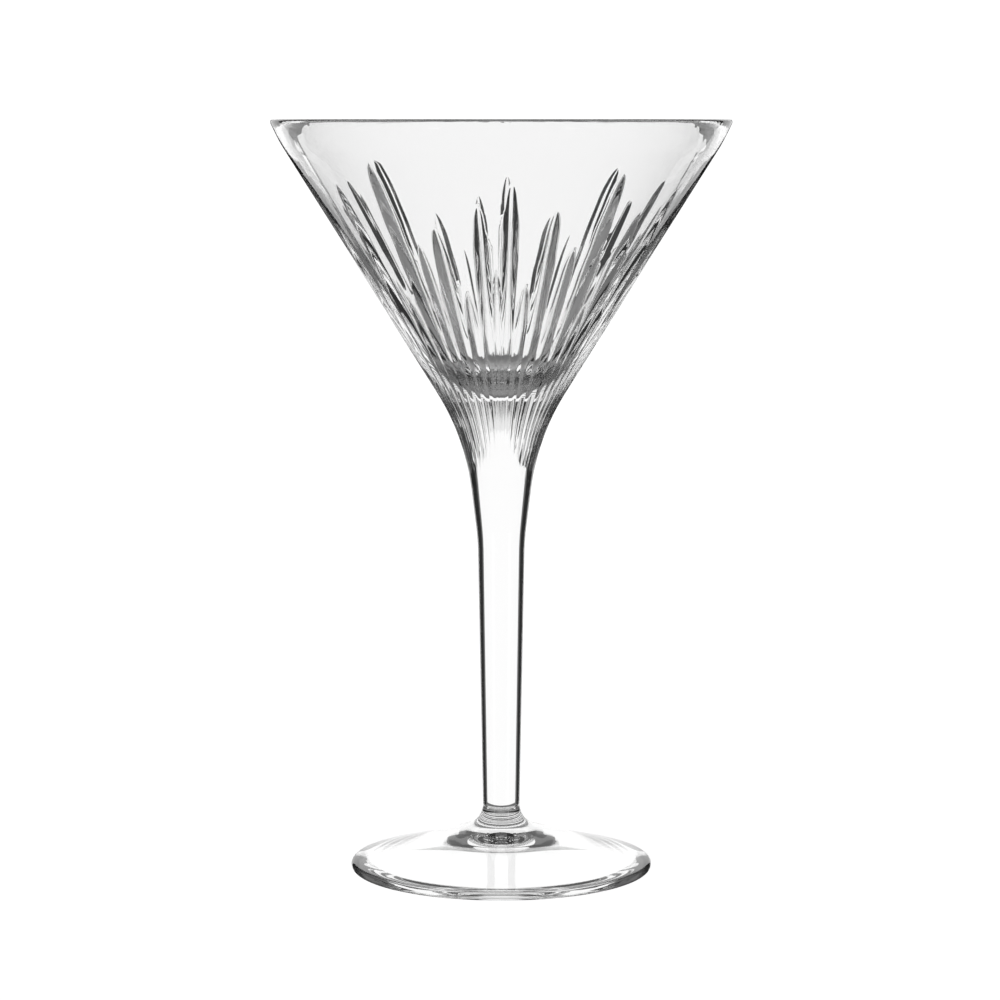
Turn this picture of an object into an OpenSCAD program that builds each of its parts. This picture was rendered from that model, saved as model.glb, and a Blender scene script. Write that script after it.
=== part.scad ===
// Martini glass in clear glass: a conical bowl cut with long blades, a drawn stem and a round foot.
// Millimetres. +Z is up, and the origin is the centre of the ring that the foot rests on.

/* [Bowl] */
// Height of the whole glass, from the table to the top of the rim
glass_h = 175; // [165:1:185]
// Diameter across the outside of the rim
rim_d = 106; // [100:1:112]
// Thickness of the wall at the rim
rim_t = 1.3; // [1:0.1:1.8]
// Height of the lip, the band below the rim that stands more upright than the cone
lip_h = 5.2; // [4:0.1:7]
// Angle between the lip's wall and the vertical
lip_a = 22; // [18:1:25]
// Angle between the outer wall of the cone and the vertical
cone_a = 31.9; // [31:0.1:32.5]
// Angle between the inner wall of the cone and the vertical
hollow_a = 34.3; // [33.5:0.1:35]
// Height of the lowest point of the hollow
hollow_z = 113.5; // [112:0.5:117]
// Height of the seam where the bowl is joined to the stem
bowl_seam_z = 89; // [86:0.5:89]
// Radius of the long curve from the cone into the stem
neck_r = 55; // [50:1:58]

/* [Blades] */
// Radius of the cutting wheel's rounded edge
edge_r = 2.1; // [1.9:0.1:2.8]
// Depth of a blade at its deepest place
blade_depth = 1.1; // [0.8:0.05:1.2]
// Height of the blades' lower ends
blade_low_z = 112; // [112:1:116]

/* [Stem] */
// Radius at the top of the plain stem, where the neck begins to widen
stem_top_r = 5.5; // [5:0.1:6]
// Height of the top of the plain stem
stem_top_z = 77.8; // [74:0.2:80]
// Radius at the thinnest place, just above the foot
stem_low_r = 4.3; // [4:0.1:4.8]
// Angle between the neck's wall and the vertical
neck_a = 7.1; // [6:0.1:8]
// Radius of the blend between the plain stem and the neck
stem_blend_r = 60; // [40:5:80]

/* [Foot] */
// Diameter of the foot
foot_d = 70.6; // [66:0.2:76]
// Height of the seam where the stem is joined to the foot
foot_seam_z = 13.6; // [13:0.1:14.4]
// Height where the stem begins to flare into the foot
flare_z = 15.2; // [15:0.1:16]
// Radius of the flare
flare_r = 5.5; // [5:0.1:6]
// Slope of the foot's top beside the flare
crown_a = 18; // [16:0.5:20]
// Thickness of the foot's edge
edge_t = 2.2; // [1.8:0.1:2.6]
// Width of the ring that the foot rests on
ring_w = 3.2; // [2.4:0.1:4]
// Height of the hollow under the middle of the foot
arch_h = 6.2; // [5:0.1:6.5]

/* [Hidden] */
glass_colour = [0.86, 0.9, 0.9, 0.6];
$fn = 96;
fine = 180;                                 // facets of a long curve's circle
steps = 8;                                  // chords in a drawn arc
swing_past = 1.3;                           // how far past the wall a wheel swings out

// The rim's rounded edge, and the corner below the lip
rim_r = rim_d / 2;
rim_round = rim_t / 2;
rim_centre = [rim_r - rim_round, glass_h - rim_round];
lip_corner = [rim_r - lip_h * tan(lip_a), glass_h - lip_h];
lip_blend_r = 35;

// The seams: the bowl's lies on the neck's wall, and the foot's on the flare
seam_r = stem_top_r + (bowl_seam_z - stem_top_z) * tan(neck_a);
flare_centre = [stem_low_r + flare_r, flare_z];
seam_drop = asin((flare_z - foot_seam_z) / flare_r);

// The long curve of the neck: where it leaves each wall, and its centre outside the glass
neck_corner = meet(lip_corner, cone_a, [stem_top_r, stem_top_z], neck_a);
neck_reach = neck_r * tan((cone_a - neck_a) / 2);
neck_top = neck_corner + neck_reach * [sin(cone_a), cos(cone_a)];
neck_foot = neck_corner - neck_reach * [sin(neck_a), cos(neck_a)];
neck_centre = neck_top + neck_r * [cos(cone_a), -sin(cone_a)];

// The hollow: a cone that ends in part of a sphere.  Its lip is a little lower than the outer one.
lip_gain = 0.35;
lip_drop = 1.5;
hollow_lip = lip_corner - [rim_t / cos(cone_a) + lip_gain, lip_drop];
hollow_apex_z = hollow_lip[1] - hollow_lip[0] / tan(hollow_a);
bottom_r = (hollow_z - hollow_apex_z) / (1 / sin(hollow_a) - 1);

// The foot: the edge's round, the ring's inner side, and the middles of the top's and underside's slopes
foot_r = foot_d / 2;
edge_round = edge_t / 2;
edge_centre = [foot_r - edge_round, edge_round];
ring_in = edge_centre[0] - ring_w;
crown_turn = 90 - crown_a;
crown_start = flare_centre - flare_r * [cos(crown_turn), sin(crown_turn)];
crown_r = 0.57 * foot_r;
crown_mid = [crown_r, crown_start[1] - (crown_r - crown_start[0]) * tan(crown_a)];
crown_blend_r = 150;
arch_mid = [0.35 * ring_in, 0.92 * arch_h];
arch_blend_r = 40;

// The blades in order round the bowl: the angle from the front in degrees, and the height of the tip
BLADES = [
    [3, 161], [17, 155], [35, 163], [48, 154], [62, 159], [76, 150], [90, 160], [103, 152],
    [115, 158], [128, 153], [141, 161], [161, 149], [178, 159], [188, 154], [205, 150], [221, 164],
    [239, 158], [254, 152], [271, 160], [288, 151], [306, 160], [323, 165], [338, 151], [353, 156]
];

// The x, z point where two walls cross, each given by a point and its angle to the vertical
function meet(p, a, q, b) =
    let (z = (p[0] - q[0] - p[1] * tan(a) + q[1] * tan(b)) / (tan(b) - tan(a)))
    [p[0] + (z - p[1]) * tan(a), z];

// Points of an arc about c, from angle a0 to a1
function arc(c, r, a0, a1, n = steps) =
    [for (i = [0:n]) let (a = a0 + (a1 - a0) * i / n) c + r * [cos(a), sin(a)]];

// Points of the arc that rounds the corner q of the path p, q, s
function blend(p, q, s, r, n = steps) =
    let (
        u = (p - q) / norm(p - q),
        v = (s - q) / norm(s - q),
        half = acos(u * v) / 2,
        m = (u + v) / norm(u + v),
        c = q + m * r / sin(half),
        a0 = atan2(-(c - q - u * r / tan(half))[1], -(c - q - u * r / tan(half))[0]),
        a1 = atan2(-(c - q - v * r / tan(half))[1], -(c - q - v * r / tan(half))[0]),
        turn = (a1 - a0 > 180) ? a1 - a0 - 360 : (a1 - a0 < -180) ? a1 - a0 + 360 : a1 - a0
    )
    arc(c, r, a0, a0 + turn, n);

// Distance along the cone's wall between its lower end and the height z
function along(z) = (z - neck_top[1]) / cos(cone_a);

// Half section of the bowl, filled, from the seam to the rim
module bowl_section() {
    rim_start = rim_centre + rim_round * [cos(lip_a), -sin(lip_a)];
    difference() {
        polygon(concat(
            [[0, bowl_seam_z], [seam_r, bowl_seam_z], neck_foot, neck_top],
            blend(neck_top, lip_corner, rim_start, lip_blend_r),
            arc(rim_centre, rim_round, -lip_a, 180 - lip_a),
            [[0, rim_centre[1]]]
        ));
        translate(neck_centre) circle(r = neck_r, $fn = fine);
    }
}

// Half section of the hollow, open at the top
module hollow_section() {
    mouth = rim_centre + rim_round * [-cos(lip_a), sin(lip_a)];
    centre = [0, hollow_z + bottom_r];
    cone_start = centre + bottom_r * [cos(hollow_a), -sin(hollow_a)];
    polygon(concat(
        arc(centre, bottom_r, -90, -hollow_a),
        blend(cone_start, hollow_lip, mouth, lip_blend_r),
        [mouth, mouth + [rim_t, rim_t], [0, mouth[1] + rim_t]]
    ));
}

// One blade in the plane y = 0: a wheel's rounded edge that swings into the cone's wall and out again
module blade(tip_z) {
    run = along(tip_z) - along(blade_low_z);
    swing_r = run * run / (8 * blade_depth);
    swing = swing_past * asin(run / 2 / swing_r);
    translate([neck_top[0], 0, neck_top[1]]) rotate([0, cone_a, 0])
        translate([edge_r - blade_depth + swing_r, 0, along(blade_low_z) + run / 2])
            rotate([90, 0, 0]) rotate([0, 0, 180 - swing])
                rotate_extrude(angle = 2 * swing)
                    translate([swing_r, 0]) circle(r = edge_r);
}

// Wall, lip, neck and hollow in one turned piece, with the blades cut round the outside
module bowl() {
    color(glass_colour)
        difference() {
            rotate_extrude() bowl_section();
            rotate_extrude() hollow_section();
            for (b = BLADES)
                rotate([0, 0, b[0] - 90]) blade(b[1]);
        }
}

// Plain drawn stem, with the start of the flare at its lower end
module stem() {
    color(glass_colour)
        rotate_extrude()
            polygon(concat(
                [[0, foot_seam_z]],
                arc(flare_centre, flare_r, 180 + seam_drop, 180),
                blend([stem_low_r, flare_z], [stem_top_r, stem_top_z], [seam_r, bowl_seam_z],
                      stem_blend_r),
                [[seam_r, bowl_seam_z], [0, bowl_seam_z]]
            ));
}

// Round foot: flare, sloping top, rounded edge, the narrow ring that it rests on, and the arch inside it
module foot() {
    edge_a = atan((crown_mid[1] - edge_t) / (edge_centre[0] - crown_r));
    edge_top = edge_centre + edge_round * [sin(edge_a), cos(edge_a)];
    color(glass_colour)
        rotate_extrude()
            polygon(concat(
                [[0, foot_seam_z]],
                arc(flare_centre, flare_r, 180 + seam_drop, 180 + crown_turn),
                blend(crown_start, crown_mid, edge_top, crown_blend_r, steps / 2),
                arc(edge_centre, edge_round, 90 - edge_a, -90),
                [[ring_in, 0]],
                blend([ring_in, 0], arch_mid, [0, arch_h], arch_blend_r),
                [[0, arch_h]]
            ));
}

bowl();
stem();
foot();
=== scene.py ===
"""A clear martini glass in three joined pieces, on a pale floor in bright-field studio light."""
import math

import bpy
import numpy as np
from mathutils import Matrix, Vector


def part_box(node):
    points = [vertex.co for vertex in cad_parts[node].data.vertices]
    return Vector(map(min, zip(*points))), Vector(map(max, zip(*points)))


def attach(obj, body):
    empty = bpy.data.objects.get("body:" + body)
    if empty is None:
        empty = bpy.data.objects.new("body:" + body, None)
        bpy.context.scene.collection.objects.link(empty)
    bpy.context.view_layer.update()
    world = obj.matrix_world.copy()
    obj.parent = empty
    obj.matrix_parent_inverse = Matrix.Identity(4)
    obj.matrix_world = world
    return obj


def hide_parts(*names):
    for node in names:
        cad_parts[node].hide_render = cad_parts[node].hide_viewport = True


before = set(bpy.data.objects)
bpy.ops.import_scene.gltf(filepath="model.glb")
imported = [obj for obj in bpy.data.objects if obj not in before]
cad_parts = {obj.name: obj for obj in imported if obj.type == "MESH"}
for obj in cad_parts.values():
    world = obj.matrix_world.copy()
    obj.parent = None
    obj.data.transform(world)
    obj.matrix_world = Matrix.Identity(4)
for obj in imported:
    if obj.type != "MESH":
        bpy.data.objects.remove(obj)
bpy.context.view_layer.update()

MM = 0.001

# ---------------------------------------------------------------- sizes
# The frame gives the heights and the widest radii.  The rest repeats the design's own dimensions.

BOWL_LOW, BOWL_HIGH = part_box("bowl")
FOOT_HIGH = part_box("foot")[1]

GLASS_H = BOWL_HIGH.z
RIM_R = BOWL_HIGH.x
FOOT_R = FOOT_HIGH.x
BOWL_SEAM_Z = BOWL_LOW.z
FOOT_SEAM_Z = FOOT_HIGH.z

RIM_T = 1.3 * MM
LIP_H = 5.2 * MM
LIP_A = math.radians(22)
LIP_BLEND_R = 35 * MM
CONE_A = math.radians(31.9)
HOLLOW_A = math.radians(34.3)
HOLLOW_Z = 113.5 * MM
NECK_R = 55 * MM
NECK_A = math.radians(7.1)
STEM_TOP = np.array([5.5, 77.8]) * MM
STEM_LOW_R = 4.3 * MM
STEM_BLEND_R = 60 * MM
FLARE_Z = 15.2 * MM
FLARE_R = 5.5 * MM
CROWN_A = math.radians(18)
EDGE_T = 2.2 * MM
RING_W = 3.2 * MM
ARCH_H = 6.2 * MM
LIP_GAIN = 0.35 * MM                # extra thickness of the wall, measured level, at the lip's corner
LIP_DROP = 1.5 * MM                 # how far the hollow's corner lies below the outer one
CROWN_MID = 0.57                    # where the foot's top changes its slope, as a share of the radius
CROWN_BLEND_R = 150 * MM
ARCH_MID = (0.35, 0.92)             # the arch's corner, as shares of the ring's radius and its height
ARCH_BLEND_R = 40 * MM

# How finely the outlines are drawn: the length of a step, closer where the blades' tips are
STEP_CUTS = 0.97 * MM
STEP_TIPS = 0.52 * MM
STEP_LIP = 1.2 * MM
STEP_HOLLOW = 9 * MM
STEP_STEM = 2.5 * MM
STEP_PLAIN = 2.0 * MM
STEP_RING = 1.5 * MM
TIPS_LOW_Z = 147 * MM               # heights between which the tips of the long blades lie
TIPS_HIGH_Z = 163.5 * MM
STEM_COLUMNS = 128
FOOT_COLUMNS = 192

# The cut blades: angle from the front in degrees, to the right, and the height of the tip in mm
LONG_BLADES = [
    (3, 161), (17, 155), (35, 163), (48, 154), (62, 159), (76, 150), (90, 160), (103, 152),
    (115, 158), (128, 153), (141, 161), (161, 149), (178, 159), (188, 154), (205, 150), (221, 164),
    (239, 158), (254, 152), (271, 160), (288, 151), (306, 160), (323, 165), (338, 151), (353, 156),
]
# Heights of the tips of the short blades, one between each pair of long ones
SHORT_TIPS = [
    138, 146, 133, 141, 130, 136, 143, 132, 139, 134, 145, 131,
    137, 142, 133, 140, 135, 144, 131, 138, 134, 147, 136, 141,
]
CUT_SLOPE = 0.84           # slope of a blade's two faces, which meet in a rounded valley
CUT_SLOPE_LOW = 0.36       # and at the top of the neck, where the cuts are only flutes
CUT_ROUND = 0.30 * MM
CHATTER = 0.05             # how much the depth of a blade wavers along it
CHATTER_STEP = 11 * MM
SOFTEN_FROM = 38 * MM      # height above the neck, along the wall, where the faces begin to soften
LONG_HALF_W = 1.95 * MM    # half the width of a long blade at its widest
SHORT_HALF_W = 1.4 * MM
LONG_RISE = 17 * MM        # length over which a long blade widens below its tip
SHORT_RISE = 12 * MM
RIDGE_SINK = 0.03 * MM     # how far the ridges between merged blades lie below the plain wall
FADE_FROM = -9 * MM        # along the neck's wall, where the flutes begin to fade
FADE_TO = -21.5 * MM       # and where they are gone
WIDTH_VARIES = 0.08        # how much the blades' widths differ from each other
VARIES_STEP = 2.3          # phase of that from one blade to the next, in radians
CHATTER_TURN = 40          # phase of the chatter round the bowl
CUT_MIN_W = 0.12 * MM      # the narrowest half width of a cut in the mesh
CUT_SHARE = 0.86           # the most of a blade's half sector that its cut takes in the mesh
OPEN_SHARE = 0.7           # and the most above the tips
CUT_COLUMNS = 5            # columns from a blade's middle to its edge
RIDGE_COLUMNS = (0.2, 0.6) # and beyond the edge, as shares of what is left

# ---------------------------------------------------------------- outlines
# An outline is an array of (radius, height) points.


def direction(angle):
    """Unit vector at an angle from the vertical, leaning outwards."""
    return np.array([math.sin(angle), math.cos(angle)])


def meet(p, a, q, b):
    """The point where the wall through p at angle a crosses the wall through q at angle b."""
    z = (p[0] - q[0] - p[1] * math.tan(a) + q[1] * math.tan(b)) / (math.tan(b) - math.tan(a))
    return np.array([p[0] + (z - p[1]) * math.tan(a), z])


def arc(centre, radius, a0, a1, count):
    """Points of an arc from angle a0 to a1, in radians, with both ends."""
    a = np.linspace(a0, a1, count + 1)
    return np.array(centre) + radius * np.stack([np.cos(a), np.sin(a)], 1)


def line(p, q, step):
    """Points of a straight stretch, about a step apart, with both ends."""
    p, q = np.array(p, float), np.array(q, float)
    count = max(1, round(np.linalg.norm(q - p) / step))
    return p + np.linspace(0, 1, count + 1)[:, None] * (q - p)


def blend(p, q, s, radius, count):
    """Points of the arc that rounds the corner q of the path p, q, s."""
    p, q, s = (np.array(v, float) for v in (p, q, s))
    u = (p - q) / np.linalg.norm(p - q)
    v = (s - q) / np.linalg.norm(s - q)
    half = math.acos(float(u @ v)) / 2
    middle = (u + v) / np.linalg.norm(u + v)
    centre = q + middle * radius / math.sin(half)
    start = q + u * radius / math.tan(half) - centre
    end = q + v * radius / math.tan(half) - centre
    a0 = math.atan2(start[1], start[0])
    a1 = math.atan2(end[1], end[0])
    turn = (a1 - a0 + math.pi) % (2 * math.pi) - math.pi
    return arc(centre, radius, a0, a0 + turn, count)


def joined(*stretches):
    """One outline from stretches that follow on, without doubled points."""
    points = np.concatenate(stretches)
    gap = np.linalg.norm(np.diff(points, axis=0), axis=1)
    return points[np.concatenate([[True], gap > 1e-7])]


def outward(points):
    """Unit normals of an outline that runs up the outside and down the inside."""
    along = np.gradient(points, axis=0)
    normal = np.stack([along[:, 1], -along[:, 0]], 1)
    return normal / np.linalg.norm(normal, axis=1)[:, None]


LIP_CORNER = np.array([RIM_R - LIP_H * math.tan(LIP_A), GLASS_H - LIP_H])
NECK_CORNER = meet(LIP_CORNER, CONE_A, STEM_TOP, NECK_A)
NECK_REACH = NECK_R * math.tan((CONE_A - NECK_A) / 2)
NECK_TOP = NECK_CORNER + NECK_REACH * direction(CONE_A)
NECK_FOOT = NECK_CORNER - NECK_REACH * direction(NECK_A)
SEAM_R = STEM_TOP[0] + (BOWL_SEAM_Z - STEM_TOP[1]) * math.tan(NECK_A)
RIM_ROUND = RIM_T / 2
RIM_CENTRE = np.array([RIM_R - RIM_ROUND, GLASS_H - RIM_ROUND])


def bowl_outside():
    """The plain outside of the bowl, from the seam up to the top of the rim."""
    rim_start = RIM_CENTRE + RIM_ROUND * np.array([math.cos(LIP_A), -math.sin(LIP_A)])
    lip = blend(NECK_TOP, LIP_CORNER, rim_start, LIP_BLEND_R, 5)
    tips_low, tips_high = (
        NECK_TOP + (z - NECK_TOP[1]) / math.cos(CONE_A) * direction(CONE_A)
        for z in (TIPS_LOW_Z, TIPS_HIGH_Z)
    )
    return joined(
        [[SEAM_R, BOWL_SEAM_Z]],
        blend(NECK_FOOT, NECK_CORNER, NECK_TOP, NECK_R, 24),
        line(NECK_TOP, tips_low, STEP_CUTS),
        line(tips_low, tips_high, STEP_TIPS),
        line(tips_high, lip[0], STEP_LIP),
        lip,
        line(lip[-1], rim_start, STEP_LIP),
        arc(RIM_CENTRE, RIM_ROUND, -LIP_A, math.pi / 2, 5),
    )


def bowl_inside():
    """The hollow, from the top of the rim down to its lowest point on the axis."""
    rim_end = RIM_CENTRE + RIM_ROUND * np.array([-math.cos(LIP_A), math.sin(LIP_A)])
    wall_at_lip = RIM_T / math.cos(CONE_A) + LIP_GAIN
    corner = np.array([LIP_CORNER[0] - wall_at_lip, LIP_CORNER[1] - LIP_DROP])
    apex = corner[1] - corner[0] / math.tan(HOLLOW_A)
    ball = (HOLLOW_Z - apex) / (1 / math.sin(HOLLOW_A) - 1)
    bottom = arc([0, HOLLOW_Z + ball], ball, -HOLLOW_A, -math.pi / 2, 7)
    lip = blend(rim_end, corner, bottom[0], LIP_BLEND_R, 4)
    return joined(
        arc(RIM_CENTRE, RIM_ROUND, math.pi / 2, math.pi - LIP_A, 4),
        lip,
        line(lip[-1], bottom[0], STEP_HOLLOW),
        bottom[:-1],
    )


def stem_outside():
    """The stem's side, from the foot's seam up to the bowl's."""
    drop = math.asin((FLARE_Z - FOOT_SEAM_Z) / FLARE_R)
    neck_end = [SEAM_R, BOWL_SEAM_Z]
    low = [STEM_LOW_R, FLARE_Z]
    top = blend(low, STEM_TOP, neck_end, STEM_BLEND_R, 8)
    return joined(
        arc([STEM_LOW_R + FLARE_R, FLARE_Z], FLARE_R, math.pi + drop, math.pi, 4),
        line(low, top[0], STEP_STEM),
        top,
        line(top[-1], neck_end, STEP_PLAIN),
    )


def foot_outside():
    """The foot's side, from the seam down over the top and the edge to the middle of the underside."""
    drop = math.asin((FLARE_Z - FOOT_SEAM_Z) / FLARE_R)
    turn = math.pi / 2 - CROWN_A
    flare = arc([STEM_LOW_R + FLARE_R, FLARE_Z], FLARE_R, math.pi + drop, math.pi + turn, 16)
    edge_round = EDGE_T / 2
    edge_centre = np.array([FOOT_R - edge_round, edge_round])
    middle_r = CROWN_MID * FOOT_R
    middle = np.array([middle_r, flare[-1][1] - (middle_r - flare[-1][0]) * math.tan(CROWN_A)])
    slope = math.atan((middle[1] - EDGE_T) / (edge_centre[0] - middle_r))
    edge = arc(edge_centre, edge_round, math.pi / 2 - slope, -math.pi / 2, 16)
    crown = blend(flare[-1], middle, edge[0], CROWN_BLEND_R, 6)
    ring = edge_centre[0] - RING_W
    arch_mid = [ARCH_MID[0] * ring, ARCH_MID[1] * ARCH_H]
    under = blend([ring, 0], arch_mid, [0, ARCH_H], ARCH_BLEND_R, 10)
    return joined(
        flare,
        line(flare[-1], crown[0], STEP_PLAIN),
        crown,
        line(crown[-1], edge[0], STEP_PLAIN),
        edge,
        line(edge[-1], [ring, 0], STEP_RING),
        line([ring, 0], under[0], STEP_PLAIN),
        under,
        line(under[-1], [0, ARCH_H], STEP_PLAIN)[:-1],
    )


# ---------------------------------------------------------------- the cut blades


class Blades:
    """The blades round the bowl, long and short in turn, as arrays with one entry each."""

    def __init__(self):
        long_angles = np.radians([b[0] for b in LONG_BLADES])
        after = np.roll(long_angles, -1)
        after[-1] += 2 * math.pi
        short_angles = (long_angles + after) / 2
        self.angle = np.stack([long_angles, short_angles], 1).ravel()
        tips = np.stack([[b[1] for b in LONG_BLADES], SHORT_TIPS], 1).ravel() * MM
        self.tip = (tips - NECK_TOP[1]) / math.cos(CONE_A)
        count = len(LONG_BLADES)
        order = np.arange(2 * count)
        varied = 1 + WIDTH_VARIES * np.sin(VARIES_STEP * order)
        self.half_w = np.tile([LONG_HALF_W, SHORT_HALF_W], count) * varied
        self.rise = np.tile([LONG_RISE, SHORT_RISE], count)
        before = np.roll(self.angle, 1)
        before[0] -= 2 * math.pi
        following = np.roll(self.angle, -1)
        following[-1] += 2 * math.pi
        self.left = (before + self.angle) / 2
        self.right = (self.angle + following) / 2

    def centre_depth(self, s, r):
        """Depth of each blade at its middle, at wall distances s and plain radii r."""
        s, r = s[:, None], r[:, None]
        q = np.clip((self.tip - s) / self.rise, 0, 1)
        nose = self.half_w * np.sqrt(1 - (1 - q) ** 2)
        slope = cut_slope(s)
        phase = 2 * math.pi * (self.tip - s) / CHATTER_STEP + self.angle * CHATTER_TURN
        chatter = 1 + CHATTER * np.sin(phase)
        rising = np.where(s < self.tip, cut_section(nose, slope) * chatter, self.tip - s)
        half_pitch = (self.right - self.left) / 2 * r
        merged = cut_section(half_pitch, slope) + RIDGE_SINK
        fade = np.clip((s - FADE_TO) / (FADE_FROM - FADE_TO), 0, 1)
        return np.minimum(rising, merged) * fade * fade * (3 - 2 * fade)

    def half_width(self, depth, slope):
        """Half the width of the cut where its middle has this depth."""
        reach = np.maximum(depth, 0) / slope + CUT_ROUND
        return np.sqrt(np.maximum(reach ** 2 - CUT_ROUND ** 2, CUT_MIN_W ** 2))


def cut_slope(s):
    """Slope of the blades' faces at the distance s up the wall from the top of the neck."""
    return CUT_SLOPE_LOW + (CUT_SLOPE - CUT_SLOPE_LOW) * np.clip(s / SOFTEN_FROM, 0, 1)


def cut_section(t, slope):
    """How far a blade's face rises above its valley at the distance t from the middle."""
    return slope * (np.sqrt(t * t + CUT_ROUND ** 2) - CUT_ROUND)


def blade_columns(blades, centre, radius, slope):
    """Angles of the mesh's columns in every row, so that the edges of every blade lie on them."""
    inner = np.linspace(0, 1, CUT_COLUMNS)
    outer = np.array(RIDGE_COLUMNS)
    width = blades.half_width(centre, slope[:, None]) / radius[:, None]
    sides = []
    for sign, edge in ((-1, blades.left), (1, blades.right)):
        half = np.abs(edge - blades.angle)
        reach = np.clip(width, 0, CUT_SHARE * half)
        reach = np.where(centre < 0, np.minimum(reach, OPEN_SHARE * half), reach)
        steps = np.concatenate(
            [reach[..., None] * inner, reach[..., None] + (half - reach)[..., None] * outer], -1
        )
        if sign < 0:
            full = np.broadcast_to(half, reach.shape)[..., None]
            steps = np.concatenate([steps[..., 1:], full], -1)[..., ::-1]
        sides.append(blades.angle[None, :, None] + sign * steps)
    columns = np.concatenate(sides, -1)
    return columns.reshape(len(radius), -1)


def blade_depth(blades, centre, radius, slope, columns):
    """Depth of the cut at every row and column: the deepest of the blades there."""
    best = np.zeros_like(columns)
    for j, angle in enumerate(blades.angle):
        apart = (columns - angle + math.pi) % (2 * math.pi) - math.pi
        depth = centre[:, j:j + 1] - cut_section(apart * radius[:, None], slope[:, None])
        best = np.maximum(best, depth)
    return best


# ---------------------------------------------------------------- meshes


def revolve(radius, height, angles):
    """Vertices at these radii and heights, turned about the axis; angle 0 faces the front."""
    turned = angles - math.pi / 2
    return np.stack([radius * np.cos(turned), radius * np.sin(turned), height], -1)


def grid_faces(rows, columns, start=0):
    """Quads of a closed ring of columns."""
    i = np.arange(rows - 1)[:, None] * columns
    j = np.arange(columns)[None, :]
    k = (j + 1) % columns
    quads = np.stack([i + j, i + k, i + columns + k, i + columns + j], -1)
    return quads.reshape(-1, 4) + start


def build_piece(name, vertices, rows, columns, caps, node):
    """A closed mesh from a grid of vertices, in place of one CAD node.

    caps gives, for the first and the last row, the height of the middle point that closes it, and
    whether it is a fused seam, which carries the second material.
    """
    vertices = vertices.reshape(-1, 3)
    faces = [tuple(int(v) for v in f) for f in grid_faces(rows, columns)]
    seams = []
    for first, (height, fused) in zip((True, False), caps):
        ring = 0 if first else (rows - 1) * columns
        pole = len(vertices)
        vertices = np.concatenate([vertices, [[0.0, 0.0, height]]])
        for j in range(columns):
            a, b = ring + j, ring + (j + 1) % columns
            if fused:
                seams.append(len(faces))
            faces.append((pole, b, a) if first else (pole, a, b))
    mesh = bpy.data.meshes.new(name)
    mesh.from_pydata(vertices.tolist(), [], faces)
    mesh.validate()
    mesh.materials.append(GLASS)
    mesh.materials.append(FUSED)
    index = np.zeros(len(mesh.polygons), np.int32)
    index[seams] = 1
    mesh.polygons.foreach_set("material_index", index)
    smooth = np.ones(len(mesh.polygons), bool)
    smooth[seams] = False
    mesh.polygons.foreach_set("use_smooth", smooth)
    mesh.update()
    piece = bpy.data.objects.new(name, mesh)
    bpy.context.scene.collection.objects.link(piece)
    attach(piece, "root")
    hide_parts(node)
    return piece


def sharpen_seam_rims(mesh):
    """Keeps a seam's flat cap from bending the shading of the wall beside it."""
    mesh.update()
    cap = {e for p in mesh.polygons if p.material_index == 1 for e in p.edge_keys}
    wall = {e for p in mesh.polygons if p.material_index == 0 for e in p.edge_keys}
    rim = cap & wall
    for edge in mesh.edges:
        if tuple(sorted(edge.vertices)) in rim:
            edge.use_edge_sharp = True


def make_bowl():
    """The bowl: wall, lip and neck outside with the blades cut in, and the plain hollow inside."""
    blades = Blades()
    outside, inside = bowl_outside(), bowl_inside()
    normal = outward(outside)
    length = np.concatenate([[0], np.cumsum(np.linalg.norm(np.diff(outside, axis=0), axis=1))])
    at_neck = length[np.argmin(np.linalg.norm(outside - NECK_TOP, axis=1))]
    slope = cut_slope(length - at_neck)
    centre = blades.centre_depth(length - at_neck, outside[:, 0])
    columns = blade_columns(blades, centre, outside[:, 0], slope)
    depth = blade_depth(blades, centre, outside[:, 0], slope, columns)
    radius = outside[:, :1] - normal[:, :1] * depth
    height = outside[:, 1:] - normal[:, 1:] * depth
    count = columns.shape[1]
    inner_columns = np.broadcast_to(columns[-1], (len(inside) - 1, count))
    outer = revolve(radius, height, columns)
    inner = revolve(
        np.repeat(inside[1:, :1], count, 1), np.repeat(inside[1:, 1:], count, 1), inner_columns
    )
    vertices = np.concatenate([outer, inner])
    caps = ((BOWL_SEAM_Z, True), (HOLLOW_Z, False))
    piece = build_piece("bowl_glass", vertices, len(vertices), count, caps, "bowl")
    sharpen_seam_rims(piece.data)


def make_turned(name, outline, count, caps, node):
    """A plain turned piece from an outline."""
    angles = np.linspace(0, 2 * math.pi, count, endpoint=False)[None, :]
    vertices = revolve(
        np.repeat(outline[:, :1], count, 1),
        np.repeat(outline[:, 1:], count, 1),
        np.repeat(angles, len(outline), 0),
    )
    piece = build_piece(name, vertices, len(outline), count, caps, node)
    sharpen_seam_rims(piece.data)


# ---------------------------------------------------------------- materials


def new_material(name):
    material = bpy.data.materials.new(name)
    material.use_nodes = True
    material.node_tree.nodes.clear()
    return material, material.node_tree.nodes, material.node_tree.links


GLASS_IOR = 1.52
HAZE_SCALE = 120
HAZE_ROUGHNESS = 0.02      # the roughest spots of the polished surface
RIPPLE_SCALE = 70
RIPPLE_STRENGTH = 0.05
RIPPLE_DEPTH = 0.4 * MM


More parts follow.
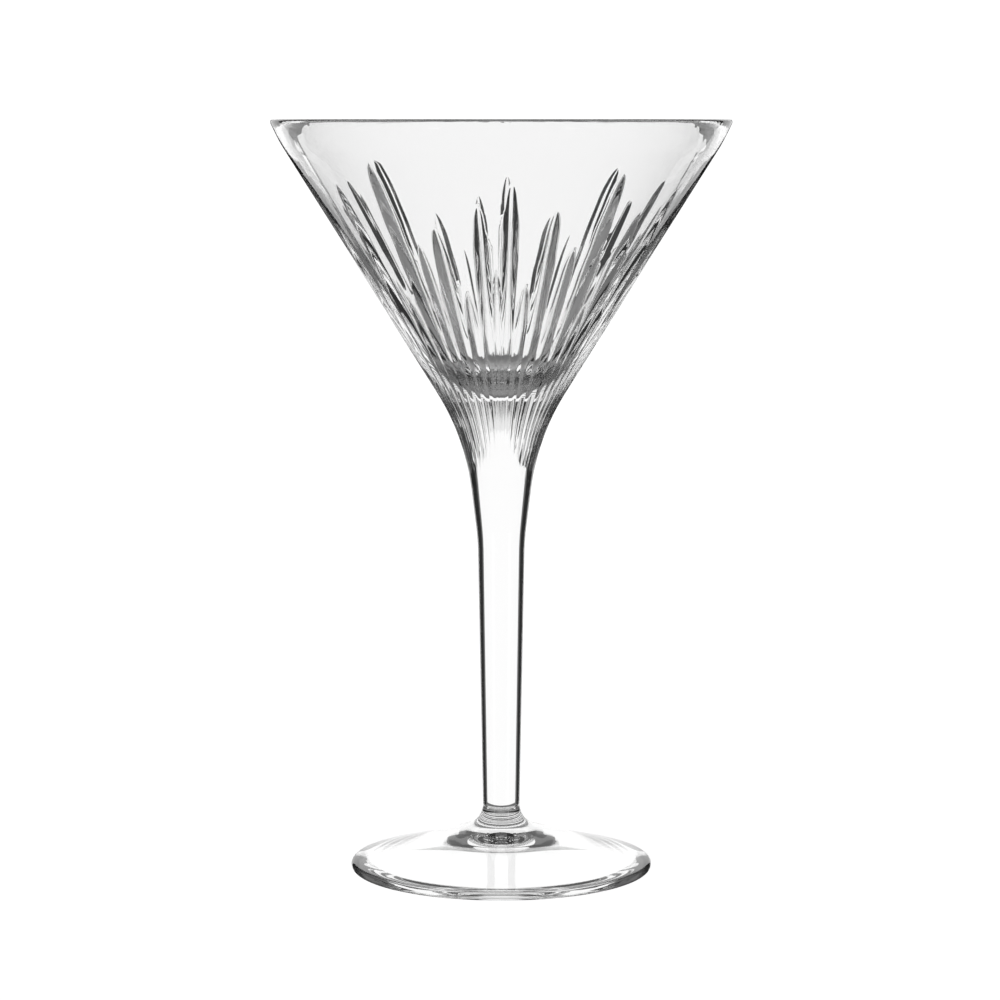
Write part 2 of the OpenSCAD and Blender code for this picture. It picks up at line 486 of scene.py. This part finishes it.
def glass_material():
    """Clear polished glass, with the faint ripple and haze of a fire-polished, wheel-cut surface."""
    material, nodes, links = new_material("clear_glass")
    out = nodes.new("ShaderNodeOutputMaterial")
    shader = nodes.new("ShaderNodeBsdfPrincipled")
    shader.inputs["Base Color"].default_value = (1, 1, 1, 1)
    shader.inputs["Transmission Weight"].default_value = 1.0
    shader.inputs["IOR"].default_value = GLASS_IOR
    place = nodes.new("ShaderNodeTexCoord")
    haze = nodes.new("ShaderNodeTexNoise")
    haze.inputs["Scale"].default_value = HAZE_SCALE
    haze.inputs["Detail"].default_value = 3
    spread = nodes.new("ShaderNodeMapRange")
    spread.inputs["To Min"].default_value = 0.0
    spread.inputs["To Max"].default_value = HAZE_ROUGHNESS
    ripple = nodes.new("ShaderNodeTexNoise")
    ripple.inputs["Scale"].default_value = RIPPLE_SCALE
    ripple.inputs["Detail"].default_value = 1
    bump = nodes.new("ShaderNodeBump")
    bump.inputs["Strength"].default_value = RIPPLE_STRENGTH
    bump.inputs["Distance"].default_value = RIPPLE_DEPTH
    links.new(place.outputs["Object"], haze.inputs["Vector"])
    links.new(haze.outputs["Fac"], spread.inputs["Value"])
    links.new(spread.outputs["Result"], shader.inputs["Roughness"])
    links.new(place.outputs["Object"], ripple.inputs["Vector"])
    links.new(ripple.outputs["Fac"], bump.inputs["Height"])
    links.new(bump.outputs["Normal"], shader.inputs["Normal"])
    links.new(shader.outputs["BSDF"], out.inputs["Surface"])
    return material


def fused_material():
    """A fused seam: the glass goes on through it, so light passes straight."""
    material, nodes, links = new_material("fused_seam")
    out = nodes.new("ShaderNodeOutputMaterial")
    shader = nodes.new("ShaderNodeBsdfTransparent")
    links.new(shader.outputs["BSDF"], out.inputs["Surface"])
    return material


GLASS = glass_material()
FUSED = fused_material()

# ---------------------------------------------------------------- studio

# The camera is level with the rim and looks down a little.  The cards are placed in its own space:
# x to the right, y up and z backwards, in metres.
CAMERA_BACK = 761 * MM
CAMERA_TILT = math.radians(6.6)
CAMERA_LENS = 118.5
CAMERA_LEFT = 0.3 * MM
FIELD_HALF = math.radians(38)       # half the angle of the bright field behind the glass
BOWL_FIELD_HALF = math.radians(27)  # and at the bowl, where the dark flags reach further back
FIELD_BACK = 0.9                    # its distance behind the glass
FIELD_SPAN = (-0.245, 0.53)         # how far it reaches below and above the view's axis
FIELD_LIGHT = 1.06
BANK_SPAN = (0.53, 1.40)            # a bank of light above it
BANK_LIGHT = 0.9
STRIP_LIGHT = 1.5
FLAG_X = 0.060                      # distance of the dark flags from the glass's axis
FLAG_END = math.radians(65)         # how far round to the side they reach
FLAG_STEP = (0.030, 0.055)          # heights, above the view's axis, between which they widen
FLAG_TOP = 0.098
FLAG_GREY = 0.015
RIG_LOW = -0.5                      # the flags' lower edge, below the view's axis
STRIP_X = (0.42, 0.50)              # the two edges of a strip light beside the camera
STRIP_AHEAD = (0.25, 0.30)          # and how far in front of the camera they are
STRIP_SPAN = (-0.3, 0.7)
FLOOR_R = 0.6
FLOOR_SIDES = 96
FLOOR_SINK = 0.02 * MM
FLOOR_GLOW = 0.97
BACKDROP_LIGHT = 1.1                # what the camera sees behind everything
ROOM_GREY = 0.15                    # what the glass sees at its own level
CEILING_GREY = 0.03
FLOOR_GREY = 0.26                   # straight below, as light off the pale floor
CEILING_FROM = 0.81                 # place on the ramp from straight below, 0, to straight up, 1
ROOM_RAMP = ((0.12, FLOOR_GREY), (0.24, ROOM_GREY), (0.65, ROOM_GREY))


def make_camera():
    """The camera at the photograph's angle."""
    data = bpy.data.cameras.new("camera")
    data.lens = CAMERA_LENS
    data.sensor_width = 36
    data.clip_start = 0.05
    camera = bpy.data.objects.new("camera", data)
    camera.location = (-CAMERA_LEFT, -CAMERA_BACK, GLASS_H)
    camera.rotation_euler = (math.pi / 2 - CAMERA_TILT, 0, 0)
    bpy.context.scene.collection.objects.link(camera)
    bpy.context.scene.camera = camera
    bpy.context.view_layer.update()
    return camera


def emitter(name, strength):
    """A white material that glows at this strength."""
    material, nodes, links = new_material(name)
    out = nodes.new("ShaderNodeOutputMaterial")
    shader = nodes.new("ShaderNodeEmission")
    shader.inputs["Color"].default_value = (1, 1, 1, 1)
    shader.inputs["Strength"].default_value = strength
    links.new(shader.outputs["Emission"], out.inputs["Surface"])
    return material


def card(name, corners, material, camera):
    """A flat studio card held in the camera's own space, seen only through or in the glass."""
    mesh = bpy.data.meshes.new(name)
    mesh.from_pydata(corners, [], [tuple(range(len(corners)))])
    mesh.materials.append(material)
    piece = bpy.data.objects.new(name, mesh)
    bpy.context.scene.collection.objects.link(piece)
    piece.parent = camera
    piece.visible_camera = False
    piece.visible_diffuse = False
    piece.visible_shadow = False


def make_rig(camera):
    """The bright field behind the glass, the dark flags at its sides, and the lights by the camera."""
    target = CAMERA_BACK
    half = FIELD_BACK * math.tan(FIELD_HALF)
    far = -(target + FIELD_BACK)
    behind = (("field_card", FIELD_SPAN, emitter("bright_field", FIELD_LIGHT)),
              ("bank_card", BANK_SPAN, emitter("bank_light", BANK_LIGHT)))
    for name, (low, high), light in behind:
        corners = [(-half, low, far), (half, low, far), (half, high, far), (-half, high, far)]
        card(name, corners, light, camera)
    dark = emitter("dark_flag", FLAG_GREY)
    strip = emitter("strip_light", STRIP_LIGHT)
    front, back, bowl_back = (
        -(target + FLAG_X / math.tan(a)) for a in (FLAG_END, FIELD_HALF, BOWL_FIELD_HALF)
    )
    outline = [(RIG_LOW, back), (RIG_LOW, front), (FLAG_TOP, front), (FLAG_TOP, bowl_back),
               (FLAG_STEP[1], bowl_back), (FLAG_STEP[0], back)]
    low, high = STRIP_SPAN
    near_z, far_z = (-d for d in STRIP_AHEAD)
    for side, word in ((-1, "left"), (1, "right")):
        card(f"flag_{word}", [(side * FLAG_X, y, z) for y, z in outline], dark, camera)
        near, far = (side * x for x in STRIP_X)
        corners = [(near, low, near_z), (far, low, far_z), (far, high, far_z), (near, high, near_z)]
        card(f"strip_{word}", corners, strip, camera)


def make_floor():
    """A plain pale floor, which the camera sees but the glass doesn't."""
    mesh = bpy.data.meshes.new("floor")
    ring = [(FLOOR_R * math.cos(a), FLOOR_R * math.sin(a), 0.0)
            for a in np.linspace(0, 2 * math.pi, FLOOR_SIDES, endpoint=False)]
    mesh.from_pydata(ring, [], [tuple(range(FLOOR_SIDES))])
    material, nodes, links = new_material("floor_white")
    out = nodes.new("ShaderNodeOutputMaterial")
    shader = nodes.new("ShaderNodeBsdfPrincipled")
    shader.inputs["Base Color"].default_value = (0.9, 0.9, 0.9, 1)
    shader.inputs["Roughness"].default_value = 0.8
    shader.inputs["Emission Color"].default_value = (1, 1, 1, 1)
    shader.inputs["Emission Strength"].default_value = FLOOR_GLOW
    links.new(shader.outputs["BSDF"], out.inputs["Surface"])
    mesh.materials.append(material)
    floor = bpy.data.objects.new("floor", mesh)
    bpy.context.scene.collection.objects.link(floor)
    floor.location.z = -FLOOR_SINK
    floor.visible_transmission = False
    floor.visible_glossy = False


def make_world():
    """White behind the object to the camera, and a dim room, lighter below, to everything else."""
    world = bpy.data.worlds.new("room")
    bpy.context.scene.world = world
    world.use_nodes = True
    nodes, links = world.node_tree.nodes, world.node_tree.links
    nodes.clear()
    out = nodes.new("ShaderNodeOutputWorld")
    path = nodes.new("ShaderNodeLightPath")
    room = nodes.new("ShaderNodeBackground")
    room.inputs["Strength"].default_value = 1.0
    way = nodes.new("ShaderNodeTexCoord")
    split = nodes.new("ShaderNodeSeparateXYZ")
    steps = nodes.new("ShaderNodeMapRange")
    steps.inputs["From Min"].default_value = -1.0
    height = nodes.new("ShaderNodeValToRGB")
    ramp = height.color_ramp
    ramp.elements[0].color = (FLOOR_GREY, FLOOR_GREY, FLOOR_GREY, 1)
    ramp.elements[1].position = CEILING_FROM
    ramp.elements[1].color = (CEILING_GREY, CEILING_GREY, CEILING_GREY, 1)
    for position, grey in ROOM_RAMP:
        ramp.elements.new(position).color = (grey, grey, grey, 1)
    links.new(way.outputs["Generated"], split.inputs[0])
    links.new(split.outputs["Z"], steps.inputs["Value"])
    links.new(steps.outputs["Result"], height.inputs["Fac"])
    links.new(height.outputs["Color"], room.inputs["Color"])
    back = nodes.new("ShaderNodeBackground")
    back.inputs["Color"].default_value = (1, 1, 1, 1)
    back.inputs["Strength"].default_value = BACKDROP_LIGHT
    mix = nodes.new("ShaderNodeMixShader")
    links.new(path.outputs["Is Camera Ray"], mix.inputs[0])
    links.new(room.outputs["Background"], mix.inputs[1])
    links.new(back.outputs["Background"], mix.inputs[2])
    links.new(mix.outputs["Shader"], out.inputs["Surface"])


def set_render_quality():
    scene = bpy.context.scene
    scene.view_settings.view_transform = "Standard"
    scene.cycles.max_bounces = 32
    scene.cycles.transmission_bounces = 32
    scene.cycles.glossy_bounces = 16
    scene.cycles.transparent_max_bounces = 32
    scene.cycles.use_denoising = True
    scene.cycles.sample_clamp_indirect = 4


make_bowl()
stem_caps = ((FOOT_SEAM_Z, True), (BOWL_SEAM_Z, True))
make_turned("stem_glass", stem_outside(), STEM_COLUMNS, stem_caps, "stem")
foot_caps = ((ARCH_H, False), (FOOT_SEAM_Z, True))
make_turned("foot_glass", foot_outside()[::-1], FOOT_COLUMNS, foot_caps, "foot")

camera = make_camera()
make_rig(camera)
make_floor()
make_world()
set_render_quality()
